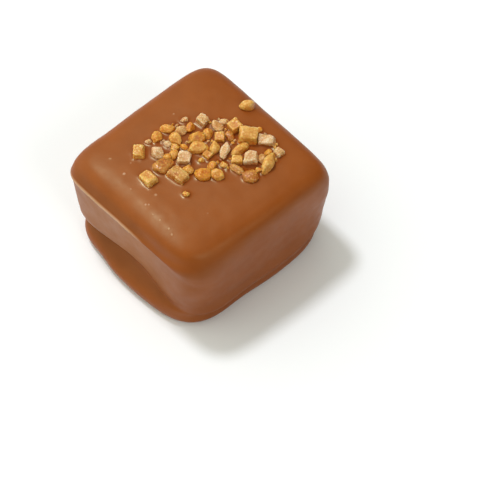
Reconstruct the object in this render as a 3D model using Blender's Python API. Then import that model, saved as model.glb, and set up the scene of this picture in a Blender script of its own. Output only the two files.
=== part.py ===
"""Filled chocolate: a square praline dipped in milk chocolate, with bits of nut and caramel on its top.

Lengths and places in this file are in millimetres. Each mesh is scaled to metres once, as it is made.
The praline stands on z = 0 over the origin. The side where the coating folded over its foot faces -Y.
Directions round the praline are in degrees: 0 is +X, the right side, and 270 is -Y, the folded front.
"""
import math
import random

import bmesh
import bpy
import numpy as np
from mathutils import Euler, Matrix, Vector

METRES = 0.001

# Driving sizes of the coated body
WIDTH = 26.2
DEPTH = 26.9
HEIGHT = 16.95

# The foot, where the coating spread on the belt, and the throat, the hollow above it
FOOT_LEVEL = 1.35
FOOT_TOP = 2.7
THROAT_LEVEL = 3.3
FOOT_OUT = {"right": -0.20, "back": -0.25, "left": 0.50, "front": 0.84}
THROAT_OUT = {"right": -0.25, "back": -0.70, "left": -1.00}
THROAT_OUT_FRONT = (-1.75, -1.00)

# Where the foot and the throat wave in and out: direction, spread in degrees, and how far
FOOT_WAVES = ((222, 20, 0.22), (228, 8, 0.10), (247, 8, -0.43), (300, 12, -0.27), (342, 12, -0.45))
THROAT_WAVES = ((212, 20, -0.42), (315, 13, 0.40))

# The fold along the front, between the directions where it rises and those where it dies away
FOLD_BEGINS = (216, 238)
FOLD_ENDS = (296, 330)
LOW_FOLD_ENDS = (290, 318)
FOLD_SOFTENS = (255, 305)

# Its ridge under the top's edge, and the lip that hangs over the foot: both are highest near the middle
RIDGE_DROP = 3.25
RIDGE_RISE = (262, 20, 0.55)
RIDGE_OUT = -0.35
LIP_LEVEL = 4.4
LIP_RISE = (268, 20, 1.5)
LIP_SAG = 1.3
LIP_OUT = (-0.55, -0.95)
LIP_TURN = (0.28, 0.07)

# How square the plan is at each height: 2 is a circle, and higher is squarer
SQUARE_TOP = 3.6
SQUARE_SHOULDER = 6.8
SQUARE_WALL = 8.8
SQUARE_WALL_BACK_RIGHT = 10.8
SQUARE_LOW = 8.4
SQUARE_THROAT = 6.6
SQUARE_SOFT_CORNER = 5.4
SQUARE_SOFT_THROAT = 4.7
SQUARE_FOOT = {"back_right": 4.4, "back_left": 4.4, "front_left": 3.2, "front_right": 3.9}

# The top is shifted this far from the base, as the real one leans a little
LEAN = (0.3, 0.3)

SIDES = {"right": 0.0, "back": 90.0, "left": 180.0, "front": 270.0}
CORNERS = {"back_right": 45.0, "back_left": 135.0, "front_left": 225.0, "front_right": 315.0}
CORNER_SPREAD = 28.0
BROW = 3

# Fineness of the body's mesh: squares across each side, and from the brow down to the base
SQUARES_ACROSS = 18
SQUARES_DOWN = 24
CORNERING = 0.6

# The larger bits: kind, place on the top, length, breadth, height above the coating, turn in degrees
BITS = (
    ("amber_cube", 1.7, 7.4, 2.5, 2.3, 1.7, 47),
    ("amber_cube", -2.2, -7.0, 2.4, 1.7, 0.9, -3),
    ("amber_cube", -6.3, -5.1, 2.0, 1.6, 0.9, -41),
    ("amber_cube", -0.6, 7.2, 1.9, 1.7, 1.3, -2),
    ("amber_cube", 3.6, 3.7, 1.6, 1.2, 0.9, 47),
    ("amber_cube", -0.7, 4.5, 1.4, 1.3, 0.9, -43),
    ("amber_cube", 0.3, 1.3, 1.4, 1.1, 0.7, 7),
    ("amber_nut", 6.9, 6.4, 2.6, 1.3, 1.2, -73),
    ("amber_nut", 2.5, 5.3, 2.5, 1.1, 1.0, 90),
    ("amber_nut", -1.4, 1.2, 2.4, 1.4, 1.0, 57),
    ("amber_nut", 2.2, -1.2, 1.9, 1.5, 1.0, 41),
    ("amber_nut", -2.7, 2.2, 2.0, 1.3, 1.0, 59),
    ("amber_nut", -2.3, 11.0, 1.9, 1.3, 1.0, 47),
    ("amber_nut", 3.6, 0.1, 1.8, 1.4, 1.0, 35),
    ("amber_nut", -6.5, -1.7, 1.8, 1.2, 0.8, -51),
    ("amber_nut", -6.5, 0.3, 1.7, 1.2, 0.8, 47),
    ("amber_nut", 0.1, 2.9, 1.7, 1.3, 1.0, -39),
    ("amber_nut", -4.7, -0.1, 1.6, 1.3, 0.9, -17),
    ("amber_nut", -2.2, 3.7, 1.3, 1.2, 0.9, -43),
    ("amber_nut", 2.2, 0.5, 1.3, 1.1, 0.9, -43),
    ("amber_nut", 0.2, -2.2, 1.2, 1.1, 0.8, -43),
    ("amber_nut", -4.6, 2.6, 1.1, 1.0, 0.8, 47),
    ("amber_nut", -3.5, -1.1, 1.1, 1.0, 0.7, 47),
    ("amber_nut", -2.8, -2.0, 1.2, 1.0, 0.7, -43),
    ("amber_nut", -3.1, -2.9, 1.2, 0.9, 0.6, 47),
    ("amber_nut", 3.0, -4.9, 0.8, 0.7, 0.5, 47),
    ("cream_cube", 3.8, 8.9, 2.3, 1.6, 0.9, 41),
    ("cream_cube", 4.7, 5.3, 1.9, 1.8, 1.2, 45),
    ("cream_cube", -1.4, -1.3, 1.8, 1.7, 0.9, 38),
    ("cream_cube", -4.3, 4.6, 1.7, 1.5, 0.9, 7),
    ("cream_cube", 6.3, 8.8, 1.3, 1.2, 0.7, 7),
    ("cream_nut", 1.4, 3.5, 2.6, 1.1, 0.9, -57),
    ("cream_nut", -4.4, -3.4, 1.6, 1.4, 0.9, 7),
    ("cream_nut", -2.4, 5.6, 1.6, 1.1, 0.6, 18),
    ("cream_nut", -5.1, 1.3, 1.4, 1.3, 0.8, 47),
    ("cream_nut", -2.2, 6.7, 1.2, 0.8, 0.5, 53),
    ("cream_nut", 5.6, 6.6, 1.2, 0.9, 0.6, -43),
    ("clear_nut", -2.3, -4.1, 2.6, 1.8, 0.6, 87),
    ("clear_cube", 0.1, -3.7, 2.7, 1.8, 0.8, 10),
    ("clear_nut", 6.6, 3.4, 2.0, 1.6, 0.7, 47),
    ("clear_nut", 4.7, 2.8, 1.8, 0.9, 0.5, 18),
    ("clear_nut", -0.1, 5.7, 1.3, 1.2, 0.7, -43),
)

# The crumbs between them, placed by a rule
CRUMBS = 9
CRUMB_SEED = 2724
CRUMB_KINDS = ("amber_nut", "cream_nut", "amber_nut")
CRUMB_SIZES = (0.60, 0.95)
CRUMB_HEIGHT = 0.45
CRUMB_GAP = 0.08
CRUMB_COMPANY = 1.0
SCATTER_CENTRE = (-0.1, 2.4)
SCATTER_REACH = 7.5

# How bits are shaped: how deep they sit, and how their corners are cut
BURIED = 0.55
CUBE_TAPER = 0.86
CUBE_BEVEL = 0.13
CUBE_JITTER = 0.08
NUT_JITTER = 0.14
TILT = 6.0
BIT_SEED = 100

# Colours in linear light, and roughness
CHOCOLATE = ((0.24, 0.060, 0.0115), 0.38)
AMBER = ((0.62, 0.33, 0.085), 0.35)
CREAM = ((0.72, 0.56, 0.34), 0.50)
CLEAR = ((0.40, 0.18, 0.050), 0.18)


def ease(low, high, value):
    """Rise smoothly from 0 at low to 1 at high."""
    t = np.clip((value - low) / (high - low), 0.0, 1.0)
    return t * t * (3.0 - 2.0 * t)


def hump(centre, spread, degrees):
    """A smooth bump of height 1 round one direction."""
    away = (degrees - centre + 180.0) % 360.0 - 180.0
    return np.exp(-0.5 * (away / spread) ** 2)


def waves(table, degrees):
    return sum(out * hump(at, spread, degrees) for at, spread, out in table)


def mix(plain, other, share):
    return plain + (other - plain) * share


def weighted(values, weights):
    """The mean of the values of the sides or corners, each weighted by how much a direction faces it."""
    total = sum(weights.values())
    return sum(weights[name] * value for name, value in values.items()) / total


def landmarks(degrees):
    """How far each landmark stands out, its level and its squareness, from the top's middle to the base."""
    degrees = degrees % 360.0
    even = np.ones_like(degrees)
    facing = {name: np.maximum(np.cos(np.radians(degrees - at)), 0.0) ** 4 for name, at in SIDES.items()}
    cornering = {name: hump(at, CORNER_SPREAD, degrees) for name, at in CORNERS.items()}
    soft = hump(CORNERS["front_right"], 24, degrees)
    soft_low = hump(CORNERS["front_right"], 13, degrees)
    crowded = hump(CORNERS["back_right"], 24, degrees)

    # the fold's shares, and its ridge and lip
    folded = ease(*FOLD_BEGINS, degrees) * (1.0 - ease(*FOLD_ENDS, degrees))
    folded_low = ease(*FOLD_BEGINS, degrees) * (1.0 - ease(*LOW_FOLD_ENDS, degrees))
    along = ease(*FOLD_SOFTENS, degrees)
    crisp = folded * (1.0 - ease(275, 305, degrees))
    ridge = HEIGHT - RIDGE_DROP + waves([RIDGE_RISE], degrees)
    ridge_out = RIDGE_OUT * ease(250, 300, degrees)
    lip = LIP_LEVEL + waves([LIP_RISE], degrees) - LIP_SAG * ease(280, 305, degrees)
    lip_out = mix(*LIP_OUT, ease(240, 285, degrees))
    lip_turn = mix(*LIP_TURN, along)

    # the throat follows the lip up, at about a third of its rise
    throat_out = {**THROAT_OUT, "front": mix(*THROAT_OUT_FRONT, along)}
    throat = weighted(throat_out, facing) + waves(THROAT_WAVES, degrees)
    throat_level = THROAT_LEVEL + folded_low * (0.4 + 0.35 * (lip - LIP_LEVEL))
    foot = weighted(FOOT_OUT, facing) + waves(FOOT_WAVES, degrees)

    # squareness at each height, less at the soft front right corner
    top = SQUARE_TOP * even
    shoulder = mix(SQUARE_SHOULDER, SQUARE_SOFT_CORNER, soft)
    wall = mix(mix(SQUARE_WALL, SQUARE_WALL_BACK_RIGHT, crowded), SQUARE_SOFT_CORNER + 0.3, soft)
    low = mix(SQUARE_LOW, SQUARE_SOFT_CORNER + 0.2, soft)
    narrow = mix(SQUARE_THROAT, SQUARE_SOFT_THROAT, soft_low)
    base = weighted(SQUARE_FOOT, cornering)

    rows = [
        # the top, slightly domed, from its middle out to the brow
        (-WIDTH / 2 * even, HEIGHT * even, top),
        (-9.0 * even, HEIGHT - 0.04 * even, top),
        (-6.6 * even, HEIGHT - 0.10 * even, top),
        (mix(-4.6, -4.7, folded), HEIGHT - mix(0.22, 0.14, folded), top),
        # the shoulder, tight on the plain sides and long above the fold
        (-2.8 * even, HEIGHT - mix(0.42 + 0.15 * soft, 0.36, folded), mix(shoulder, top, 0.5)),
        (mix(-1.5 - 0.1 * soft, -1.35, folded), HEIGHT - mix(0.74 + 0.40 * soft, 0.98, folded), shoulder),
        (mix(-0.68 - 0.15 * soft, ridge_out - 0.42, folded),
         mix(HEIGHT - 1.35 - 0.75 * soft, ridge + 0.70, folded), mix(shoulder, wall, 0.5)),
        (mix(-0.22 - 0.15 * soft, ridge_out - 0.08, folded),
         mix(HEIGHT - 2.25 - 0.95 * soft, ridge + 0.20, folded), mix(shoulder, wall, 0.75)),
        # the ridge of the fold, and the wall
        (mix(-0.05 - 0.05 * soft, ridge_out, folded), mix(HEIGHT - 3.3 - 1.1 * soft, ridge, folded), wall),
        (mix(0.0, ridge_out - mix(0.05, 0.12, crisp), folded),
         mix(HEIGHT - 4.4 - 1.2 * soft, ridge - 0.30, folded), wall),
        (mix(0.0, ridge_out - mix(0.14, 0.20, crisp), folded),
         mix(HEIGHT - 5.8 - 0.8 * soft, ridge - 1.3, folded), wall),
        (mix(-0.12, lip_out + 0.12, folded_low), mix(9.0, lip + 1.7, folded_low), mix(wall, low, 0.5)),
        # the lip over the foot
        (mix(-0.28, lip_out, folded_low), mix(6.9, lip + 0.40, folded_low), low),
        (mix(-0.42, lip_out - lip_turn, folded_low), mix(5.2, lip - 0.20, folded_low), low),
        # the throat and the foot
        (throat, throat_level, narrow),
        (mix(throat, foot, 0.55), FOOT_TOP + 0.15 * even, mix(base, narrow, 0.3)),
        (foot - 0.14, FOOT_TOP - 0.50 * even, base),
        (foot, FOOT_LEVEL * even, base),
        (foot - 0.35, 0.3 * FOOT_LEVEL * even, base),
        (foot - 1.0, 0.0 * even, base),
    ]
    return np.array(rows)


def knot_places():
    """Where the landmarks lie along the outline, spaced by the mean distance from each to the next."""
    mean = landmarks(np.arange(0.0, 360.0, 3.0)).mean(axis=2)
    steps = np.hypot(np.diff(mean[:, 0]), np.diff(mean[:, 1])) ** 0.7
    return np.concatenate([[0.0], np.cumsum(steps)])


KNOTS = knot_places()


def through_landmarks(rows, at):
    """Read the smooth curve through the landmarks of each direction, at one place for each."""
    step = np.diff(KNOTS)[:, None, None]
    rate = np.diff(rows, axis=0) / step
    slope = np.empty_like(rows)
    slope[0] = rate[0]
    slope[-1] = rate[-1]
    slope[1:-1] = (rate[1:] * step[:-1] + rate[:-1] * step[1:]) / (step[1:] + step[:-1])
    first = np.clip(np.searchsorted(KNOTS, at, side="right") - 1, 0, len(KNOTS) - 2)
    each = np.arange(len(at))
    span = np.diff(KNOTS)[first]
    t = (at - KNOTS[first]) / span
    start = rows[first, :, each].T * (1.0 + 2.0 * t) * (1.0 - t) ** 2
    end = rows[first + 1, :, each].T * t * t * (3.0 - 2.0 * t)
    leave = slope[first, :, each].T * t * (1.0 - t) ** 2
    arrive = slope[first + 1, :, each].T * t * t * (1.0 - t)
    return start + end + span * (leave - arrive)


def surface(direction, at):
    """Points on the body, from a plan direction with a longest side of 1 and a place along the outline."""
    degrees = np.degrees(np.arctan2(direction[:, 1], direction[:, 0]))
    out, level, square = through_landmarks(landmarks(degrees), at)
    level = np.maximum(level, 0.0)
    size = np.abs(direction[:, 0]) ** square + np.abs(direction[:, 1]) ** square
    reach = (WIDTH / 2 + out) * size ** (-1.0 / square)
    leaning = (HEIGHT - level) / HEIGHT
    x = direction[:, 0] * reach + LEAN[0] * leaning
    y = direction[:, 1] * reach * DEPTH / WIDTH + LEAN[1] * leaning
    return np.stack([x, y, level], axis=-1)


def wall_places(down):
    """Places along the outline for heights from 1 at the brow to -1 at the base, evenly by length."""
    fine = np.linspace(KNOTS[BROW], KNOTS[-1], 400)
    length = np.zeros(len(fine))
    for degrees in np.arange(0.0, 360.0, 15.0):
        heading = np.array([np.cos(np.radians(degrees)), np.sin(np.radians(degrees))])
        heading = heading / np.abs(heading).max()
        points = surface(np.tile(heading, (len(fine), 1)), fine)
        length[1:] += np.cumsum(np.linalg.norm(np.diff(points, axis=0), axis=1))
    return np.interp((1.0 - down) / 2.0, length / length[-1], fine)


def top_level(x, y):
    """How high the coating's top is at a place on it."""
    y = y * WIDTH / DEPTH
    reach = (abs(x) ** SQUARE_TOP + abs(y) ** SQUARE_TOP) ** (1.0 / SQUARE_TOP)
    rows = landmarks(np.degrees(np.arctan2(np.array([y]), np.array([x]))))
    return float(np.interp(reach - WIDTH / 2, rows[:, 0, 0], rows[:, 1, 0]))


def clear_scene():
    for thing in list(bpy.data.objects):
        bpy.data.objects.remove(thing, do_unlink=True)


def make_material(name, colour, roughness):
    material = bpy.data.materials.new(name)
    material.use_nodes = True
    shader = material.node_tree.nodes["Principled BSDF"]
    shader.inputs["Base Color"].default_value = (*colour, 1.0)
    shader.inputs["Roughness"].default_value = roughness
    shader.inputs["Metallic"].default_value = 0.0
    material.diffuse_color = (*colour, 1.0)
    return material


def make_object(name, mesh, collection, material):
    """Put a bmesh, in millimetres, into the scene as an object in metres."""
    data = bpy.data.meshes.new(name)
    mesh.transform(Matrix.Scale(METRES, 4))
    mesh.to_mesh(data)
    mesh.free()
    data.materials.append(material)
    thing = bpy.data.objects.new(name, data)
    collection.objects.link(thing)
    return thing


def gridded_cube(across, down):
    """A cube from -1 to 1 with each side cut into squares."""
    mesh = bmesh.new()
    bmesh.ops.create_cube(mesh, size=2.0)
    upright = [edge for edge in mesh.edges if abs(edge.verts[0].co.z - edge.verts[1].co.z) > 1.0]
    level = [edge for edge in mesh.edges if edge not in upright]
    bmesh.ops.subdivide_edges(mesh, edges=level, cuts=across - 1, use_grid_fill=True)
    upright = [edge for edge in mesh.edges if abs(edge.verts[0].co.z - edge.verts[1].co.z) > 1.0]
    bmesh.ops.subdivide_edges(mesh, edges=upright, cuts=down - 1, use_grid_fill=True)
    return mesh


def body_mesh(across, down):
    """The coated body: a gridded cube laid on the surface that the landmarks describe."""
    mesh = gridded_cube(across, down)
    places = np.array([vert.co[:] for vert in mesh.verts])
    height = places[:, 2]
    middle = np.abs(places[:, :2]).max(axis=1)
    heading = places[:, :2] / np.maximum(middle, 1e-9)[:, None]
    heading[middle < 1e-9] = (1.0, 0.0)
    rounded = CORNERING * np.sin(heading * np.pi / 2) + (1.0 - CORNERING) * heading
    heading = np.where(np.abs(heading) < 0.999999, rounded, heading)

    on_top = height > 0.999999
    on_base = height < -0.999999
    at = wall_places(height)
    at[on_top] = middle[on_top] * KNOTS[BROW]
    at[on_base] = KNOTS[-1]
    points = surface(heading, at)
    points[on_base, :2] *= middle[on_base, None]
    for vert, point in zip(mesh.verts, points):
        vert.co = point

    flat = [face for face in mesh.faces if all(vert.co.z < 1e-6 for vert in face.verts)]
    bmesh.ops.dissolve_faces(mesh, faces=flat)
    return mesh


def crumb_layout():
    """Crumbs drawn at random, and kept where they touch no other bit and have two or more close by."""
    rng = random.Random(CRUMB_SEED)
    taken = [(x, y, (length + breadth) / 4) for _, x, y, length, breadth, _, _ in BITS]
    crumbs = []
    while len(crumbs) < CRUMBS:
        x = SCATTER_CENTRE[0] + SCATTER_REACH * rng.uniform(-1.0, 1.0)
        y = SCATTER_CENTRE[1] + SCATTER_REACH * rng.uniform(-1.0, 1.0)
        size = rng.uniform(*CRUMB_SIZES)
        turn = rng.uniform(0.0, 180.0)
        gaps = sorted(math.hypot(x - tx, y - ty) - radius - size / 2 for tx, ty, radius in taken)
        if gaps[0] > CRUMB_GAP and gaps[1] < CRUMB_COMPANY:
            kind = CRUMB_KINDS[len(crumbs) % len(CRUMB_KINDS)]
            crumbs.append((kind, x, y, size, 0.8 * size, CRUMB_HEIGHT, turn))
            taken.append((x, y, size / 2))
    return crumbs


def cube_bit(rng):
    """A cut cube of nougat or caramel: narrower at the top, its corners uneven and its edges cut."""
    mesh = bmesh.new()
    bmesh.ops.create_cube(mesh, size=1.0)
    for vert in mesh.verts:
        narrow = CUBE_TAPER if vert.co.z > 0.0 else 1.0
        vert.co.x = vert.co.x * narrow + rng.uniform(-CUBE_JITTER, CUBE_JITTER)
        vert.co.y = vert.co.y * narrow + rng.uniform(-CUBE_JITTER, CUBE_JITTER)
        vert.co.z += rng.uniform(-CUBE_JITTER, CUBE_JITTER) / 2
    bmesh.ops.bevel(mesh, geom=list(mesh.edges), offset=CUBE_BEVEL, segments=1, affect="EDGES", profile=0.5)
    return mesh


def nut_bit(rng, fineness):
    """A rounded pebble of chopped nut."""
    mesh = bmesh.new()
    bmesh.ops.create_icosphere(mesh, subdivisions=fineness, radius=0.55)
    for vert in mesh.verts:
        vert.co *= 1.0 + rng.uniform(-NUT_JITTER, NUT_JITTER)
    return mesh


def place_bit(mesh, bit, rng):
    """Size a bit, tilt and turn it, and sink its lower part in the coating."""
    _, x, y, length, breadth, height, turn = bit
    whole = height / (1.0 - BURIED / 2)
    tilt_x = np.radians(rng.uniform(-TILT, TILT))
    tilt_y = np.radians(rng.uniform(-TILT, TILT))
    turned = Euler((tilt_x, tilt_y, np.radians(turn))).to_matrix().to_4x4()
    sized = Matrix.Diagonal((length, breadth, whole, 1.0))
    middle = Vector((x, y, top_level(x, y) + height - whole / 2))
    mesh.transform(Matrix.Translation(middle) @ turned @ sized)


def add_bits(collection, materials):
    """Every bit and crumb as an object of its own, each with random draws of its own."""
    for number, bit in enumerate(list(BITS) + crumb_layout()):
        rng = random.Random(BIT_SEED + number)
        colour, shape = bit[0].split("_")
        if shape == "cube":
            mesh = cube_bit(rng)
        else:
            mesh = nut_bit(rng, 2 if bit[3] > CRUMB_SIZES[1] else 1)
        place_bit(mesh, bit, rng)
        make_object(f"bit_{number:02d}", mesh, collection, materials[colour])


def fuse(body, collection):
    """Join the bits to the body, and keep the one body that results."""
    join = body.modifiers.new("bits", "BOOLEAN")
    join.operation = "UNION"
    join.operand_type = "COLLECTION"
    join.collection = collection
    join.solver = "EXACT"
    join.material_mode = "TRANSFER"
    evaluated = body.evaluated_get(bpy.context.evaluated_depsgraph_get())
    joined = bpy.data.meshes.new_from_object(evaluated)
    body.modifiers.remove(join)
    body.data = joined
    joined.name = body.name
    for thing in list(collection.objects):
        bpy.data.objects.remove(thing, do_unlink=True)
    bpy.data.collections.remove(collection)


def keep_outer_body(thing):
    """Drop loose scraps and the walls of hollows that the fused bits sealed."""
    mesh = bmesh.new()
    mesh.from_mesh(thing.data)
    unseen = set(mesh.verts)
    shells = []
    while unseen:
        shell = [unseen.pop()]
        for vert in shell:
            for edge in vert.link_edges:
                other = edge.other_vert(vert)
                if other in unseen:
                    unseen.remove(other)
                    shell.append(other)
        shells.append(shell)
    shells.sort(key=len, reverse=True)
    for shell in shells[1:]:
        bmesh.ops.delete(mesh, geom=shell, context="VERTS")
    mesh.to_mesh(thing.data)
    mesh.free()


def main():
    clear_scene()
    parts = bpy.data.collections.new("filled_chocolate")
    helpers = bpy.data.collections.new("bits")
    bpy.context.scene.collection.children.link(parts)
    bpy.context.scene.collection.children.link(helpers)
    chocolate = make_material("milk_chocolate", *CHOCOLATE)
    toppings = {
        "amber": make_material("amber_nut", *AMBER),
        "cream": make_material("cream_nougat", *CREAM),
        "clear": make_material("clear_caramel", *CLEAR),
    }
    body = make_object("filled_chocolate", body_mesh(SQUARES_ACROSS, SQUARES_DOWN), parts, chocolate)
    add_bits(helpers, toppings)
    fuse(body, helpers)
    keep_outer_body(body)
    body.data.shade_smooth()
    body.data.set_sharp_from_angle(angle=np.radians(35.0))


main()
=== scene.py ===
"""The looks of the filled chocolate: its coating, the bits on its top, a pale floor and soft studio light.

The form is worked out in millimetres, by the same rules and sizes as the part's own source, and scaled to
metres as each mesh is made. The folded front faces -Y, the right side +X, and the praline stands on z = 0.
Directions round it are in degrees: 0 is +X and 270 is -Y.
"""
import math
import random

import bmesh
import bpy
import numpy as np
from mathutils import Euler, Matrix, Vector, noise


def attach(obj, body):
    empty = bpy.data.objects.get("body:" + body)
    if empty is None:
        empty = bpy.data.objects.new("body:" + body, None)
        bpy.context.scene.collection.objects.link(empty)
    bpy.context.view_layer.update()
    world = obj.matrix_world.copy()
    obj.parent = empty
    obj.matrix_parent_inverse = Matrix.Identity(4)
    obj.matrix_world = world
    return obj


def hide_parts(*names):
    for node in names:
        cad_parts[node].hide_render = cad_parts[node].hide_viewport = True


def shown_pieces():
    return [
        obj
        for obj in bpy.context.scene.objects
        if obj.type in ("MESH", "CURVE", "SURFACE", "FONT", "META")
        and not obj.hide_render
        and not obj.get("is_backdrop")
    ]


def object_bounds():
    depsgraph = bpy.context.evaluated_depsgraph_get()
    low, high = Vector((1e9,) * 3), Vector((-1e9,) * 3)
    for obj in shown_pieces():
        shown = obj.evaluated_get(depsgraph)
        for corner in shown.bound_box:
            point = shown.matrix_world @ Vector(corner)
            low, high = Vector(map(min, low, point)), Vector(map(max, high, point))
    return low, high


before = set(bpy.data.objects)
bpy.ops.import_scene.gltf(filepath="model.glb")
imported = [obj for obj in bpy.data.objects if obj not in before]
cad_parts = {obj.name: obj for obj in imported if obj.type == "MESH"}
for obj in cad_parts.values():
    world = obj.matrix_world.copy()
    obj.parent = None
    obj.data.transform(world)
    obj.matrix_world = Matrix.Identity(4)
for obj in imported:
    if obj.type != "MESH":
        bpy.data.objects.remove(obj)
cad_low, cad_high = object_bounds()

# Metres in a millimetre, and how far inside the part's own box everything stays
METRES = 0.001
BOX_MARGIN = 0.01

# A vertex of the gridded cube that is past this coordinate lies on the face there, and a length below the
# tiny one counts as that one before it divides anything
ON_FACE = 0.999999
TINY = 1e-9

# Driving sizes of the coated body
WIDTH = 26.2
DEPTH = 26.9
HEIGHT = 16.95

# The foot, where the coating spread on the belt, and the throat, the hollow above it
FOOT_LEVEL = 1.35
FOOT_TOP = 2.7
THROAT_LEVEL = 3.3
FOOT_OUT = {"right": -0.20, "back": -0.25, "left": 0.50, "front": 0.84}
THROAT_OUT = {"right": -0.25, "back": -0.70, "left": -1.00}
THROAT_OUT_FRONT = (-1.75, -1.00)

# Where the foot and the throat wave in and out: direction, spread in degrees, and how far
FOOT_WAVES = ((222, 20, 0.22), (228, 8, 0.10), (247, 8, -0.43), (300, 12, -0.27), (342, 12, -0.45))
THROAT_WAVES = ((212, 20, -0.42), (315, 13, 0.40))

# The fold along the front: between which directions it rises, dies away, softens and stops being crisp
FOLD_BEGINS = (216, 238)
FOLD_ENDS = (296, 330)
LOW_FOLD_ENDS = (290, 318)
FOLD_SOFTENS = (255, 305)
CRISP_ENDS = (275, 305)

# Its ridge under the top's edge, and the lip that hangs over the foot: both are highest near the middle
RIDGE_DROP = 3.25
RIDGE_RISE = (262, 20, 0.55)
RIDGE_OUT = -0.35
RIDGE_DRAWS_IN = (250, 300)
LIP_LEVEL = 4.4
LIP_RISE = (268, 20, 1.5)
LIP_SAG = 1.3
LIP_SAGS = (280, 305)
LIP_OUT = (-0.55, -0.95)
LIP_DRAWS_IN = (240, 285)
LIP_TURN = (0.28, 0.07)

# The throat lies this much higher under the fold, and follows this share of the lip's rise
THROAT_LIFT = 0.4
THROAT_FOLLOWS = 0.35

# How square the plan is at each height: 2 is a circle, and higher is squarer
SQUARE_TOP = 3.6
SQUARE_SHOULDER = 6.8
SQUARE_WALL = 8.8
SQUARE_WALL_BACK_RIGHT = 10.8
SQUARE_LOW = 8.4
SQUARE_THROAT = 6.6
SQUARE_SOFT_CORNER = 5.4
SQUARE_SOFT_THROAT = 4.7
SQUARE_FOOT = {"back_right": 4.4, "back_left": 4.4, "front_left": 3.2, "front_right": 3.9}

# The top is shifted this far from the base, as the real one leans a little
LEAN = (0.3, 0.3)

# The sides and corners, how narrowly each side counts, and over how many degrees the forms of a corner
# spread
SIDES = {"right": 0.0, "back": 90.0, "left": 180.0, "front": 270.0}
CORNERS = {"back_right": 45.0, "back_left": 135.0, "front_left": 225.0, "front_right": 315.0}
SIDE_POWER = 4
CORNER_SPREAD = 28.0
SOFT_SPREAD = 24
SOFT_SPREAD_LOW = 13

# The landmark that is the brow, how evenly the landmarks are spaced along the outline, the steps in degrees
# and the places along it that it is measured at, and how far the mesh's columns are drawn to the corners
BROW = 3
KNOT_POWER = 0.7
KNOT_STEP = 3.0
WALL_STEP = 15.0
WALL_PLACES = 400
CORNERING = 0.6

# Fineness of the coating's mesh: finer where the bits lie, and its rows closer round some landmarks, each
# given with how many landmarks that spreads over and how much closer they are
SQUARES_ACROSS = 72
SQUARES_DOWN = 112
FINE_CUTS = 2
FINE_LOW = (-8.6, -10.6)
FINE_HIGH = (8.6, 12.6)
FINE_DEPTH = 1.2
CLOSE_ROWS = ((8.3, 1.8, 2.0), (13.5, 1.6, 1.2), (12.9, 0.5, 4.0))

# A thin bead along the ridge and one along the lip: landmark, half width, height, the directions between
# which it rises and those where it dies away, and how strongly it is painted pale, a painted highlight along
# the line
BEADS = (
    (8.0, 0.15, 0.19, (219, 231), (270, 292), 0.9),
    (12.8, 0.12, 0.12, (217, 227), (234, 254), 0.7),
)

# The wall between the ridge and the lip is painted paler and greyer, a painted reflection of the floor, and a
# band above the ridge is painted darker, a painted shade: the directions between which each rises and those
# where it dies away, and the heights over which it blends
REFLECTION_BEGINS = (218, 244)
REFLECTION_ENDS = (280, 320)
REFLECTION_BLEND = 0.35
SHADE_BEGINS = (222, 236)
SHADE_ENDS = (272, 294)
SHADE_RISE = (0.05, 0.40)
SHADE_FADE = (1.0, 1.9)

# Slow swells of the coating: size of the waves and how far they move it, full from this height upwards
SWELLS = ((6.0, 0.10), (1.6, 0.022))
SWELLS_FULL = 3.0

# Specks, raised where a bubble dried or a grain lies under the skin and painted paler as a painted highlight,
# all near the top: place, radius and height
SPECK_DEPTH = 3.0
SPECKS = (
    (-5.1, -8.8, 0.17, 0.035),
    (-8.3, -8.5, 0.20, 0.020),
    (0.3, -7.9, 0.20, 0.022),
    (0.5, -9.9, 0.13, 0.030),
    (0.8, -9.6, 0.12, 0.026),
    (5.4, -10.1, 0.12, 0.035),
    (6.3, -10.4, 0.13, 0.035),
    (3.6, -10.1, 0.11, 0.028),
    (2.3, -10.2, 0.10, 0.020),
    (-5.8, -7.0, 0.12, 0.018),
    (-2.7, -9.7, 0.11, 0.022),
    (-1.0, -8.1, 0.12, 0.018),
    (7.1, -4.7, 0.12, 0.012),
    (-6.2, 3.5, 0.16, 0.025),
    (-8.0, 2.7, 0.14, 0.020),
    (-6.7, 1.5, 0.12, 0.018),
)

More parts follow.
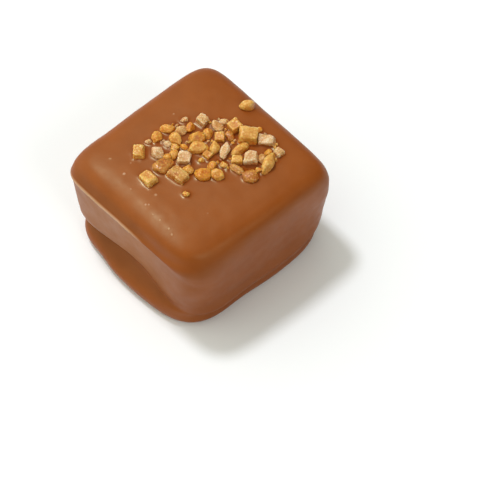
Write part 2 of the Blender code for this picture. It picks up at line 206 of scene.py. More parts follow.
# The larger bits: kind, place on the top, length, breadth, height above the coating, turn in degrees, and how
# deep the colour is, from 0 for the palest of the kind to 1
BITS = (
    ("amber_cube", 1.7, 7.4, 2.5, 2.3, 1.7, 47, 0.25),
    ("amber_cube", -2.2, -7.0, 2.4, 1.7, 0.9, -3, 0.30),
    ("amber_cube", -6.3, -5.1, 2.0, 1.6, 0.9, -41, 0.25),
    ("amber_cube", -0.6, 7.2, 1.9, 1.7, 1.3, -2, 0.40),
    ("amber_cube", 3.6, 3.7, 1.6, 1.2, 0.9, 47, 0.30),
    ("amber_cube", -0.7, 4.5, 1.4, 1.3, 0.9, -43, 0.50),
    ("amber_cube", 0.3, 1.3, 1.4, 1.1, 0.7, 7, 0.45),
    ("amber_nut", 6.9, 6.4, 2.6, 1.3, 1.2, -73, 0.30),
    ("amber_nut", 2.5, 5.3, 2.5, 1.1, 1.0, 90, 0.35),
    ("amber_nut", -1.4, 1.2, 2.4, 1.4, 1.0, 57, 0.45),
    ("amber_nut", 2.2, -1.2, 1.9, 1.5, 1.0, 41, 1.00),
    ("amber_nut", -2.7, 2.2, 2.0, 1.3, 1.0, 59, 0.80),
    ("amber_nut", -2.3, 11.0, 1.9, 1.3, 1.0, 47, 0.45),
    ("amber_nut", 3.6, 0.1, 1.8, 1.4, 1.0, 35, 0.60),
    ("amber_nut", -6.5, -1.7, 1.8, 1.2, 0.8, -51, 0.75),
    ("amber_nut", -6.5, 0.3, 1.7, 1.2, 0.8, 47, 0.75),
    ("amber_nut", 0.1, 2.9, 1.7, 1.3, 1.0, -39, 0.35),
    ("amber_nut", -4.7, -0.1, 1.6, 1.3, 0.9, -17, 0.50),
    ("amber_nut", -2.2, 3.7, 1.3, 1.2, 0.9, -43, 0.75),
    ("amber_nut", 2.2, 0.5, 1.3, 1.1, 0.9, -43, 0.80),
    ("amber_nut", 0.2, -2.2, 1.2, 1.1, 0.8, -43, 0.55),
    ("amber_nut", -4.6, 2.6, 1.1, 1.0, 0.8, 47, 1.00),
    ("amber_nut", -3.5, -1.1, 1.1, 1.0, 0.7, 47, 0.50),
    ("amber_nut", -2.8, -2.0, 1.2, 1.0, 0.7, -43, 0.70),
    ("amber_nut", -3.1, -2.9, 1.2, 0.9, 0.6, 47, 0.90),
    ("amber_nut", 3.0, -4.9, 0.8, 0.7, 0.5, 47, 0.70),
    ("cream_cube", 3.8, 8.9, 2.3, 1.6, 0.9, 41, 0.10),
    ("cream_cube", 4.7, 5.3, 1.9, 1.8, 1.2, 45, 0.25),
    ("cream_cube", -1.4, -1.3, 1.8, 1.7, 0.9, 38, 0.20),
    ("cream_cube", -4.3, 4.6, 1.7, 1.5, 0.9, 7, 0.40),
    ("cream_cube", 6.3, 8.8, 1.3, 1.2, 0.7, 7, 0.50),
    ("cream_nut", 1.4, 3.5, 2.6, 1.1, 0.9, -57, 0.10),
    ("cream_nut", -4.4, -3.4, 1.6, 1.4, 0.9, 7, 0.30),
    ("cream_nut", -2.4, 5.6, 1.6, 1.1, 0.6, 18, 0.90),
    ("cream_nut", -5.1, 1.3, 1.4, 1.3, 0.8, 47, 0.90),
    ("cream_nut", -2.2, 6.7, 1.2, 0.8, 0.5, 53, 0.70),
    ("cream_nut", 5.6, 6.6, 1.2, 0.9, 0.6, -43, 1.00),
    ("clear_nut", -2.3, -4.1, 2.6, 1.8, 0.6, 87, 0.80),
    ("clear_cube", 0.1, -3.7, 2.7, 1.8, 0.8, 10, 0.10),
    ("clear_nut", 6.6, 3.4, 2.0, 1.6, 0.7, 47, 0.90),
    ("clear_nut", 4.7, 2.8, 1.8, 0.9, 0.5, 18, 0.50),
    ("clear_nut", -0.1, 5.7, 1.3, 1.2, 0.7, -43, 0.90),
)

# The crumbs between them, placed by a rule
CRUMBS = 9
CRUMB_SEED = 2724
CRUMB_KINDS = ("amber_nut", "cream_nut", "amber_nut")
CRUMB_SIZES = (0.60, 0.95)
CRUMB_TONES = (0.8, 0.6, 1.0, 0.5)
CRUMB_BREADTH = 0.8
CRUMB_HEIGHT = 0.45
CRUMB_GAP = 0.08
CRUMB_COMPANY = 1.0
SCATTER_CENTRE = (-0.1, 2.4)
SCATTER_REACH = 7.5

# Finer crumbs, and darker flakes of skin, that fill the gaps between the bits
FINE_CRUMBS = 30
FINE_CRUMB_SEED = 41
FINE_CRUMB_SIZES = (0.28, 0.55)
FINE_CRUMB_HEIGHT = 0.30
FINE_CRUMB_GAP = -0.05
FINE_CRUMB_COMPANY = 0.45

# How deep bits sit, and how cubes and nuts are rounded, lumped and cut
BURIED = 0.55
CUBE_TAPER = 0.86
CUBE_ROUND = 0.11
CUBE_JITTER = 0.08
CUBE_SQUARES = 24
CUBE_CHIPS = 5
NUT_RADIUS = 0.60
NUT_LUMPS = 6
NUT_LUMP = 0.19
NUT_LUMP_WIDTH = 0.25
NUT_CUTS = 9
NUT_CUT_DEPTH = (0.42, 0.56)
NUT_CUT_REACH = 0.05
NUT_EDGE = 18.0
NUT_FINENESS = 5
CRUMB_FINENESS = 4
SPREAD = 1.06
CHIP_DEPTH = (0.80, 0.93)
CHIP_SHARE = 0.85
TILT = 6.0
BIT_SEED = 100

# The grain on each kind of bit: size and depth of its crystals, how much they and the coarser lumps change
# the tone and move the surface, and how far the noise is shifted from one bit to the next
GRAIN = {"amber": (0.40, 0.050), "cream": (0.32, 0.055), "clear": (0.36, 0.055)}
CRYSTAL_WIDTH = 0.5
LUMPS_PER_GRAIN = 3.0
GRAIN_TONE = (0.9, 0.35)
GRAIN_RELIEF = (1.6, 2.0)
GRAIN_SHIFT = (7.3, 3.1, 5.7)

# How many rounds of smoothing an edge is measured against, and how far out the sharpest one stands
EDGE_ROUNDS = 14
EDGE_DEPTH = 0.16

# The rim of coating that climbs each bit, from a plan as square as its kind and just inside it, only near the
# top, and how far the glossy, rippled film round the bits reaches
BIT_SQUARE = {"cube": 5.0, "nut": 2.3}
RIM_START = 0.49
RIM_HEIGHT = {"amber": 0.13, "cream": 0.13, "clear": 0.19}
RIM_WIDTH = 0.22
RIM_DEPTH = 1.5
FILM_REACH = 0.55
RIPPLE_SIZE = 0.8
RIPPLE = 0.035

# The photo's view: where the camera is, what it aims at, and the width it sees there
CAMERA_AZIMUTH = 47.1
CAMERA_ELEVATION = 57.5
CAMERA_ROLL = 0.56
CAMERA_DISTANCE = 0.380
CAMERA_AIM = (0.00894, -0.00055, 0.008)
VIEW_WIDTH = 0.06504
SENSOR_WIDTH = 36.0
NEAREST = 0.01

# The lights, each a soft disk a metre away: the way to it, left, away and up in the photo's directions, then
# its width, watts and colour
LIGHTS = (
    ("key", (4.62, 4.76, 15.5), 0.165, 4.60, (1.0, 1.0, 1.0)),
    ("softbox", (-0.49, -0.58, 0.65), 0.47, 2.4, (1.0, 0.98, 0.88)),
)

# The rest of the studio is brightest on the left, a third of the way up: the way there, how bright it is, how
# fast that fades with the angle, and its colour
GLOW_FROM = (0.842, 0.287, 0.457)
GLOW = 1.45
GLOW_FADE = 1.45
GLOW_COLOUR = (1.0, 0.985, 0.82)

# The floor: its width in metres, its colour, just cool enough to look white in that light, and its roughness
FLOOR_WIDTH = 1.2
FLOOR_COLOUR = (0.885, 0.915, 0.985)
FLOOR_ROUGHNESS = 0.9

# The coating's two mottled tones, and what the shares stored on its mesh do to them: each tint multiplies the
# colour more and more as its share goes from the first number to the second. The film tint is partly a
# caramel film and partly painted shade round the bits; the others paint a highlight on the beads and specks,
# a reflection of the floor on the wall under the ridge, and shade on the band above it
PLAIN = (1.0, 1.0, 1.0)
COATING_TONES = ((0.238, 0.0505, 0.0029), (0.273, 0.0615, 0.0052))
COATING_TINTS = {
    # darker and redder round the bits: partly a caramel film, partly painted shade between them
    "film_and_shade": (0.55, 1.0, (0.90, 0.80, 0.70)),
    # a painted highlight along the ridge and lip beads and on the specks
    "pale": (0.1, 0.8, (1.9, 5.0, 42.0)),
    # a painted reflection of the floor, paler and greyer, on the wall under the ridge
    "painted_reflection": (0.0, 1.0, (1.18, 1.60, 3.5)),
    # painted shade, darker, on the band above the ridge
    "painted_shade": (0.0, 1.0, (0.84, 0.87, 1.0)),
}
COATING_ROUGHNESS = (0.38, 0.52)
COATING_POLISH = (0.1, 0.8, 0.62)
COATING_IOR = 1.45
COATING_GLOSS = 0.45
COATING_GLOSS_TINT = (0.92, 1.0, 0.66)

# Noise in the materials: waves a metre, and its detail and roughness where they aren't the usual ones; then
# the part of its range that is used, and the depth in metres of the finest relief
COATING_MOTTLE = (260.0, 5.0, 0.6)
COATING_PATCHES = (420.0,)
COATING_PORES = (2200.0, 4.0)
COATING_SPAN = (0.3, 0.7)
COATING_RELIEF = 0.00002
BITS_MOTTLE = (4200.0, 2.0)
BITS_PATCHES = (3000.0, 2.0)
BITS_PORES = (5000.0, 2.0)
BITS_SPAN = (0.35, 0.65)
BITS_RELIEF = 0.00003
RELIEF_STRENGTH = 0.35

# Each kind of bit: its palest and deepest tone, what pits and peaks of the grain do to them (partly the
# sugar's own mottle, partly painted shade in the pits and painted highlight on the peaks), roughness, and how
# much of a glassy coat it has
LOOKS = {
    "amber": ((0.68, 0.44, 0.125), (0.60, 0.265, 0.026), (0.90, 0.72, 0.50), (1.05, 1.08, 1.16), 0.42, 0.12),
    "cream": ((0.67, 0.49, 0.275), (0.60, 0.345, 0.125), (0.88, 0.74, 0.56), (1.06, 1.09, 1.16), 0.46, 0.08),
    "clear": ((0.565, 0.32, 0.088), (0.45, 0.172, 0.02), (0.87, 0.69, 0.48), (1.11, 1.20, 1.32), 0.30, 0.33),
}

# What all bits share: tints over the grain, over the sharpness of edges (painted shade in the hollows,
# painted highlight on the edges), from the coating upwards (partly deeper caramel, partly painted shade and
# warm glow where a bit meets the coating) and over the fine mottle, then how the roughness varies, the gloss,
# the coat, and how far light scatters inside
GRAIN_STOPS = (0.25, 0.72)
EDGE_HIGHLIGHT_AND_SHADE = ((0.3, (0.96, 0.72, 0.48)), (0.5, PLAIN), (0.85, (1.06, 1.16, 1.45)))
CONTACT_SHADE_AND_GLOW = ((0.0, (1.22, 0.86, 0.50)), (0.45, PLAIN))
MOTTLE_TINTS = ((0.35, (0.93, 0.82, 0.70)), (0.60, PLAIN))
BITS_ROUGHNESS = (-0.10, 0.12)
BITS_IOR = 1.5
BITS_GLOSS = 0.35
COAT_ROUGHNESS = 0.15
SCATTER_RADIUS = (0.7, 1.0, 1.1)
SCATTER_DEPTH = 0.0009


def ease(low, high, value):
    """Rise smoothly from 0 at low to 1 at high."""
    t = np.clip((value - low) / (high - low), 0.0, 1.0)
    return t * t * (3.0 - 2.0 * t)


def bell(away):
    """1 in the middle, falling off smoothly on both sides."""
    return np.exp(-0.5 * away ** 2)


def hump(centre, spread, degrees):
    """A smooth bump of height 1 round one direction."""
    away = (degrees - centre + 180.0) % 360.0 - 180.0
    return bell(away / spread)


def between(begins, ends, degrees):
    """A share that rises between two directions and dies away between two later ones."""
    return ease(*begins, degrees) * (1.0 - ease(*ends, degrees))


def waves(table, degrees):
    """The sum of the humps of a table of directions, spreads and heights."""
    return sum(out * hump(at, spread, degrees) for at, spread, out in table)


def mix(plain, other, share):
    """From the first value to the other as the share goes from 0 to 1."""
    return plain + (other - plain) * share


def weighted(values, weights):
    """The mean of the values of the sides or corners, each weighted by how much a direction faces it."""
    total = sum(weights.values())
    return sum(weights[name] * value for name, value in values.items()) / total


def landmarks(degrees):
    """How far each landmark stands out, its level and its squareness, from the top's middle to the base."""
    degrees = degrees % 360.0
    even = np.ones_like(degrees)
    turned = {name: np.cos(np.radians(degrees - at)) for name, at in SIDES.items()}
    facing = {name: np.maximum(cosine, 0.0) ** SIDE_POWER for name, cosine in turned.items()}
    cornering = {name: hump(at, CORNER_SPREAD, degrees) for name, at in CORNERS.items()}
    soft = hump(CORNERS["front_right"], SOFT_SPREAD, degrees)
    soft_low = hump(CORNERS["front_right"], SOFT_SPREAD_LOW, degrees)
    crowded = hump(CORNERS["back_right"], SOFT_SPREAD, degrees)

    # the fold's shares, and its ridge and lip
    folded = between(FOLD_BEGINS, FOLD_ENDS, degrees)
    folded_low = between(FOLD_BEGINS, LOW_FOLD_ENDS, degrees)
    along = ease(*FOLD_SOFTENS, degrees)
    crisp = folded * (1.0 - ease(*CRISP_ENDS, degrees))
    ridge = HEIGHT - RIDGE_DROP + waves([RIDGE_RISE], degrees)
    ridge_out = RIDGE_OUT * ease(*RIDGE_DRAWS_IN, degrees)
    lip = LIP_LEVEL + waves([LIP_RISE], degrees) - LIP_SAG * ease(*LIP_SAGS, degrees)
    lip_out = mix(*LIP_OUT, ease(*LIP_DRAWS_IN, degrees))
    lip_turn = mix(*LIP_TURN, along)

    # the throat and the foot
    throat_out = {**THROAT_OUT, "front": mix(*THROAT_OUT_FRONT, along)}
    throat = weighted(throat_out, facing) + waves(THROAT_WAVES, degrees)
    throat_level = THROAT_LEVEL + folded_low * (THROAT_LIFT + THROAT_FOLLOWS * (lip - LIP_LEVEL))
    foot = weighted(FOOT_OUT, facing) + waves(FOOT_WAVES, degrees)

    # squareness at each height, less at the soft front right corner
    top = SQUARE_TOP * even
    shoulder = mix(SQUARE_SHOULDER, SQUARE_SOFT_CORNER, soft)
    wall = mix(mix(SQUARE_WALL, SQUARE_WALL_BACK_RIGHT, crowded), SQUARE_SOFT_CORNER + 0.3, soft)
    low = mix(SQUARE_LOW, SQUARE_SOFT_CORNER + 0.2, soft)
    narrow = mix(SQUARE_THROAT, SQUARE_SOFT_THROAT, soft_low)
    base = weighted(SQUARE_FOOT, cornering)

    rows = [
        # the top, slightly domed, from its middle out to the brow
        (-WIDTH / 2 * even, HEIGHT * even, top),
        (-9.0 * even, HEIGHT - 0.04 * even, top),
        (-6.6 * even, HEIGHT - 0.10 * even, top),
        (mix(-4.6, -4.7, folded), HEIGHT - mix(0.22, 0.14, folded), top),
        # the shoulder, tight on the plain sides and long above the fold
        (-2.8 * even, HEIGHT - mix(0.42 + 0.15 * soft, 0.36, folded), mix(shoulder, top, 0.5)),
        (mix(-1.5 - 0.1 * soft, -1.35, folded), HEIGHT - mix(0.74 + 0.40 * soft, 0.98, folded), shoulder),
        (mix(-0.68 - 0.15 * soft, ridge_out - 0.42, folded),
         mix(HEIGHT - 1.35 - 0.75 * soft, ridge + 0.70, folded), mix(shoulder, wall, 0.5)),
        (mix(-0.22 - 0.15 * soft, ridge_out - 0.08, folded),
         mix(HEIGHT - 2.25 - 0.95 * soft, ridge + 0.20, folded), mix(shoulder, wall, 0.75)),
        # the ridge of the fold, and the wall
        (mix(-0.05 - 0.05 * soft, ridge_out, folded), mix(HEIGHT - 3.3 - 1.1 * soft, ridge, folded), wall),
        (mix(0.0, ridge_out - mix(0.05, 0.12, crisp), folded),
         mix(HEIGHT - 4.4 - 1.2 * soft, ridge - 0.30, folded), wall),
        (mix(0.0, ridge_out - mix(0.14, 0.20, crisp), folded),
         mix(HEIGHT - 5.8 - 0.8 * soft, ridge - 1.3, folded), wall),
        (mix(-0.12, lip_out + 0.12, folded_low), mix(9.0, lip + 1.7, folded_low), mix(wall, low, 0.5)),
        # the lip over the foot
        (mix(-0.28, lip_out, folded_low), mix(6.9, lip + 0.40, folded_low), low),
        (mix(-0.42, lip_out - lip_turn, folded_low), mix(5.2, lip - 0.20, folded_low), low),
        # the throat and the foot
        (throat, throat_level, narrow),
        (mix(throat, foot, 0.55), FOOT_TOP + 0.15 * even, mix(base, narrow, 0.3)),
        (foot - 0.14, FOOT_TOP - 0.50 * even, base),
        (foot, FOOT_LEVEL * even, base),
        (foot - 0.35, 0.3 * FOOT_LEVEL * even, base),
        (foot - 1.0, 0.0 * even, base),
    ]
    return np.array(rows)


def knot_places():
    """Where the landmarks lie along the outline, spaced by the mean distance from each to the next."""
    mean = landmarks(np.arange(0.0, 360.0, KNOT_STEP)).mean(axis=2)
    steps = np.hypot(np.diff(mean[:, 0]), np.diff(mean[:, 1])) ** KNOT_POWER
    return np.concatenate([[0.0], np.cumsum(steps)])


KNOTS = knot_places()


def through_landmarks(rows, at):
    """Read the smooth curve through the landmarks of each direction, at one place for each."""
    step = np.diff(KNOTS)[:, None, None]
    rate = np.diff(rows, axis=0) / step
    slope = np.empty_like(rows)
    slope[0] = rate[0]
    slope[-1] = rate[-1]
    slope[1:-1] = (rate[1:] * step[:-1] + rate[:-1] * step[1:]) / (step[1:] + step[:-1])
    first = np.clip(np.searchsorted(KNOTS, at, side="right") - 1, 0, len(KNOTS) - 2)
    each = np.arange(len(at))
    span = np.diff(KNOTS)[first]
    t = (at - KNOTS[first]) / span
    start = rows[first, :, each].T * (1.0 + 2.0 * t) * (1.0 - t) ** 2
    end = rows[first + 1, :, each].T * t * t * (3.0 - 2.0 * t)
    leave = slope[first, :, each].T * t * (1.0 - t) ** 2
    arrive = slope[first + 1, :, each].T * t * t * (1.0 - t)
    return start + end + span * (leave - arrive)


def surface(direction, at):
    """Points on the body, from a plan direction with a longest side of 1 and a place along the outline."""
    degrees = np.degrees(np.arctan2(direction[:, 1], direction[:, 0]))
    out, level, square = through_landmarks(landmarks(degrees), at)
    level = np.maximum(level, 0.0)
    size = np.abs(direction[:, 0]) ** square + np.abs(direction[:, 1]) ** square
    reach = (WIDTH / 2 + out) * size ** (-1.0 / square)
    leaning = (HEIGHT - level) / HEIGHT
    x = direction[:, 0] * reach + LEAN[0] * leaning
    y = direction[:, 1] * reach * DEPTH / WIDTH + LEAN[1] * leaning
    return np.stack([x, y, level], axis=-1)


def wall_places(down):
    """Places along the outline for heights from 1 at the brow to -1 at the base, closer at ridge and lip."""
    fine = np.linspace(KNOTS[BROW], KNOTS[-1], WALL_PLACES)
    length = np.zeros(len(fine))
    for degrees in np.arange(0.0, 360.0, WALL_STEP):
        heading = np.array([np.cos(np.radians(degrees)), np.sin(np.radians(degrees))])
        heading = heading / np.abs(heading).max()
        points = surface(np.tile(heading, (len(fine), 1)), fine)
        length[1:] += np.linalg.norm(np.diff(points, axis=0), axis=1)
    landmark = np.interp(fine, KNOTS, np.arange(len(KNOTS)))
    closeness = 1.0
    for at, spread, more in CLOSE_ROWS:
        closeness = closeness + more * bell((landmark - at) / spread)
    travelled = np.cumsum(length * closeness)
    return np.interp((1.0 - down) / 2.0, travelled / travelled[-1], fine)


def top_level(x, y):
    """How high the coating's top is at a place on it."""
    y = y * WIDTH / DEPTH
    reach = (abs(x) ** SQUARE_TOP + abs(y) ** SQUARE_TOP) ** (1.0 / SQUARE_TOP)
    rows = landmarks(np.degrees(np.arctan2(np.array([y]), np.array([x]))))
    return float(np.interp(reach - WIDTH / 2, rows[:, 0, 0], rows[:, 1, 0]))


def crumb_layout(laid, count, seed, sizes, height, gap, company):
    """Crumbs drawn at random, and kept where they touch no other bit and have two or more close by."""
    rng = random.Random(seed)
    taken = [(x, y, (length + breadth) / 4) for _, x, y, length, breadth, _, _, _ in laid]
    crumbs = []
    while len(crumbs) < count:
        x = SCATTER_CENTRE[0] + SCATTER_REACH * rng.uniform(-1.0, 1.0)
        y = SCATTER_CENTRE[1] + SCATTER_REACH * rng.uniform(-1.0, 1.0)
        size = rng.uniform(*sizes)
        turn = rng.uniform(0.0, 180.0)
        gaps = sorted(math.hypot(x - tx, y - ty) - radius - size / 2 for tx, ty, radius in taken)
        if gaps[0] > gap and gaps[1] < company:
            kind = CRUMB_KINDS[len(crumbs) % len(CRUMB_KINDS)]
            tone = CRUMB_TONES[len(crumbs) % len(CRUMB_TONES)]
            crumbs.append((kind, x, y, size, CRUMB_BREADTH * size, height, turn, tone))
            taken.append((x, y, size / 2))
    return crumbs


def bit_layout():
    """The larger bits, then the crumbs and the fine crumbs between them."""
    laid = list(BITS)
    laid += crumb_layout(laid, CRUMBS, CRUMB_SEED, CRUMB_SIZES, CRUMB_HEIGHT, CRUMB_GAP, CRUMB_COMPANY)
    laid += crumb_layout(laid, FINE_CRUMBS, FINE_CRUMB_SEED, FINE_CRUMB_SIZES, FINE_CRUMB_HEIGHT,
                         FINE_CRUMB_GAP, FINE_CRUMB_COMPANY)
    return laid


LAYOUT = bit_layout()


def gridded_cube(across, down):
    """A cube from -1 to 1 with each side cut into squares."""
    mesh = bmesh.new()
    bmesh.ops.create_cube(mesh, size=2.0)
    upright = [edge for edge in mesh.edges if abs(edge.verts[0].co.z - edge.verts[1].co.z) > 1.0]
    level = [edge for edge in mesh.edges if edge not in upright]
    bmesh.ops.subdivide_edges(mesh, edges=level, cuts=across - 1, use_grid_fill=True)
    upright = [edge for edge in mesh.edges if abs(edge.verts[0].co.z - edge.verts[1].co.z) > 1.0]
    bmesh.ops.subdivide_edges(mesh, edges=upright, cuts=down - 1, use_grid_fill=True)
    return mesh


def move_to(mesh, points):
    """Put each vertex at its point."""
    for vert, point in zip(mesh.verts, points):
        vert.co = point


def places_on_body(mesh):
    """Where each vertex of a gridded cube goes on the body, and its heading."""
    places = np.array([vert.co[:] for vert in mesh.verts])
    height = places[:, 2]
    middle = np.abs(places[:, :2]).max(axis=1)
    heading = places[:, :2] / np.maximum(middle, TINY)[:, None]
    heading[middle < TINY] = (1.0, 0.0)
    rounded = CORNERING * np.sin(heading * np.pi / 2) + (1.0 - CORNERING) * heading
    heading = np.where(np.abs(heading) < ON_FACE, rounded, heading)
    on_top = height > ON_FACE
    on_base = height < -ON_FACE
    at = wall_places(height)
    at[on_top] = middle[on_top] * KNOTS[BROW]
    at[on_base] = KNOTS[-1]
    points = surface(heading, at)
    points[on_base, :2] *= middle[on_base, None]
    return points, heading


def bit_rims(points):
    """How far the coating climbs the bits near each point, and the share of film there, which also paints
    shade round the bits.
    """
    climb = np.zeros(len(points))
    film_and_shade = np.zeros(len(points))
    for kind, x, y, length, breadth, _, turn, _ in LAYOUT:
        colour, shape = kind.split("_")
        square = BIT_SQUARE[shape]
        cos, sin = math.cos(math.radians(turn)), math.sin(math.radians(turn))
        dx, dy = points[:, 0] - x, points[:, 1] - y
        along = np.abs(dx * cos + dy * sin) / (RIM_START * length)
        across = np.abs(dy * cos - dx * sin) / (RIM_START * breadth)
        scale = (along ** square + across ** square) ** (1.0 / square)
        gap = np.hypot(dx, dy) * (1.0 - 1.0 / np.maximum(scale, TINY))
        gap = np.maximum(gap, 0.0)
        climb = np.maximum(climb, RIM_HEIGHT[colour] * np.exp(-gap / RIM_WIDTH))
        film_and_shade = film_and_shade + (1.0 - film_and_shade) * np.exp(-(gap / FILM_REACH) ** 2)
    return climb, film_and_shade


def noise_at(points, size):
    """Smooth noise from -1 to 1 with waves of about this size."""
    return np.array([noise.noise(Vector(point) / size) for point in points])


def unevenness(points):
    """Slow swells of the coating, some thousandths of its width."""
    moved = np.zeros(len(points))
    for size, far in SWELLS:
        moved += far * noise_at(points, size)
    return moved


def directions_of(heading):
    """The direction in degrees of each heading."""
    return np.degrees(np.arctan2(heading[:, 1], heading[:, 0])) % 360.0


def line_along(heading, landmark):
    """Where each heading crosses a landmark of the body."""
    at = np.interp(landmark, np.arange(len(KNOTS)), KNOTS)
    return surface(heading, np.full(len(heading), at))


def beads(points, heading):
    """How far the beads along the ridge and the lip stand out, how polished they are, and how strongly they
    are painted pale as a painted highlight.
    """
    degrees = directions_of(heading)
    out = np.zeros(len(points))
    polished = np.zeros(len(points))
    painted_highlight = np.zeros(len(points))
    for landmark, width, far, begins, ends, pale in BEADS:
        away = np.linalg.norm(points - line_along(heading, landmark), axis=1)
        profile = between(begins, ends, degrees) * bell(away / width)
        out += far * profile
        polished = np.maximum(polished, profile)
        painted_highlight = np.maximum(painted_highlight, pale * profile)
    return out, polished, painted_highlight


def painted_reflection_and_shade(points, heading):
    """How strongly the wall under the ridge is painted with a reflection of the floor, and the band above it
    with shade.
    """
    degrees = directions_of(heading)
    ridge, lip = (line_along(heading, bead[0])[:, 2] for bead in BEADS)
    over_ridge = points[:, 2] - ridge
    over_lip = points[:, 2] - lip
    on_wall = (1.0 - ease(-REFLECTION_BLEND, 0.0, over_ridge)) * ease(0.0, REFLECTION_BLEND, over_lip)
    in_band = ease(*SHADE_RISE, over_ridge) * (1.0 - ease(*SHADE_FADE, over_ridge))
    painted_reflection = on_wall * between(REFLECTION_BEGINS, REFLECTION_ENDS, degrees)
    painted_shade = in_band * between(SHADE_BEGINS, SHADE_ENDS, degrees)
    return painted_reflection, painted_shade


def specks(points):
    """Small raised dots on the top and its shoulders."""
    out = np.zeros(len(points))
    for x, y, radius, far in SPECKS:
        away = np.hypot(points[:, 0] - x, points[:, 1] - y) / radius
        out += far * np.exp(-away ** 2)
    return np.where(points[:, 2] > HEIGHT - SPECK_DEPTH, out, 0.0)


def finish_mesh(mesh, name):
    """A smooth-shaded object in metres from a bmesh in millimetres."""
    data = bpy.data.meshes.new(name)
    mesh.transform(Matrix.Scale(METRES, 4))
    mesh.to_mesh(data)
    mesh.free()
    data.shade_smooth()
    thing = bpy.data.objects.new(name, data)
    bpy.context.scene.collection.objects.link(thing)
    return thing


def fit_in_box(points, low, high):
    """Draw the points in so that they fill the box between two corners, sideways only."""
    for axis in (0, 1):
        own_low, own_high = points[:, axis].min(), points[:, axis].max()
        share = (points[:, axis] - own_low) / (own_high - own_low)
        points[:, axis] = mix(low[axis], high[axis], share)
    return points


def refine_top(mesh):
    """Cut finer squares where the bits lie, and leave the base one plain face."""
    points, _ = places_on_body(mesh)
    inside = np.all((points[:, :2] > FINE_LOW) & (points[:, :2] < FINE_HIGH), axis=1)
    inside = inside & (points[:, 2] > HEIGHT - FINE_DEPTH)
    fine = [edge for edge in mesh.edges if all(inside[vert.index] for vert in edge.verts)]
    bmesh.ops.subdivide_edges(mesh, edges=fine, cuts=FINE_CUTS, use_grid_fill=True)
    below = [vert for vert in mesh.verts if vert.co.z < -ON_FACE]
    base = [vert for vert in below if max(abs(vert.co.x), abs(vert.co.y)) < ON_FACE]
    bmesh.ops.dissolve_verts(mesh, verts=base)


def store_shares(mesh, shares):
    """Keep named values for each vertex, which the materials read."""
    for name, values in shares.items():
        layer = mesh.verts.layers.float.new(name)
        for vert, value in zip(mesh.verts, values):
            vert[layer] = value


def make_coating():
    """The coated body, with its swells, beads, specks, ripples, and the rims round the bits."""
    mesh = gridded_cube(SQUARES_ACROSS, SQUARES_DOWN)
    mesh.verts.index_update()
    refine_top(mesh)
    points, heading = places_on_body(mesh)
    near_top = points[:, 2] > HEIGHT - RIM_DEPTH
    # the film share also darkens the coating round the bits, partly as painted shade
    rims, film_and_shade = (np.where(near_top, values, 0.0) for values in bit_rims(points))
    raised, polish, pale = beads(points, heading)
    # a painted reflection of the floor on the wall under the ridge, and painted shade on the band above it
    painted_reflection, painted_shade = painted_reflection_and_shade(points, heading)
    dots = specks(points)
    # the specks are painted paler as well, a painted highlight
    pale = np.maximum(pale, dots / max(far for _, _, _, far in SPECKS))
    swells = unevenness(points) * ease(0.0, SWELLS_FULL, points[:, 2]) + raised + dots
    swells += RIPPLE * film_and_shade * noise_at(points, RIPPLE_SIZE)
    move_to(mesh, points)
    mesh.normal_update()
    normals = np.array([vert.normal[:] for vert in mesh.verts])
    points = points + normals * swells[:, None]
    points[:, 2] += rims
    low = np.array(cad_low) / METRES + BOX_MARGIN
    high = np.array(cad_high) / METRES - BOX_MARGIN
    move_to(mesh, fit_in_box(points, low, high))
    polish = np.maximum(film_and_shade, polish)
    store_shares(mesh, {"film_and_shade": film_and_shade, "polish": polish, "pale": pale, "painted_reflection": painted_reflection, "painted_shade": painted_shade})
    return finish_mesh(mesh, "coating")


def random_direction(rng):
    """A direction drawn evenly over the sphere."""
    z = rng.uniform(-1.0, 1.0)
    turn = rng.uniform(0.0, 2.0 * math.pi)
    flat = math.sqrt(1.0 - z * z)
    return np.array([flat * math.cos(turn), flat * math.sin(turn), z])


def chip(points, rng, count):
    """Take the outermost corner off in a number of directions."""
    for _ in range(count):
        towards = random_direction(rng)
        reach = points @ towards
        limit = rng.uniform(*CHIP_DEPTH) * reach.max()
        over = np.maximum(reach - limit, 0.0)
        points = points - np.outer(CHIP_SHARE * over, towards)
    return points


def nut_radius(directions, rng):
    """How far a chopped nut's surface is from its middle: a lumpy ball with a few flat cuts."""
    radius = np.full(len(directions), NUT_RADIUS)
    for _ in range(NUT_LUMPS):
        towards = random_direction(rng)
        lump = rng.uniform(-NUT_LUMP, NUT_LUMP)
        radius = radius + lump * np.exp((directions @ towards - 1.0) / NUT_LUMP_WIDTH)
    for _ in range(NUT_CUTS):
        towards = random_direction(rng)
        depth = rng.uniform(*NUT_CUT_DEPTH)
        cut = depth / np.maximum(directions @ towards, NUT_CUT_REACH)
        radius = (radius ** -NUT_EDGE + cut ** -NUT_EDGE) ** (-1.0 / NUT_EDGE)
    return radius


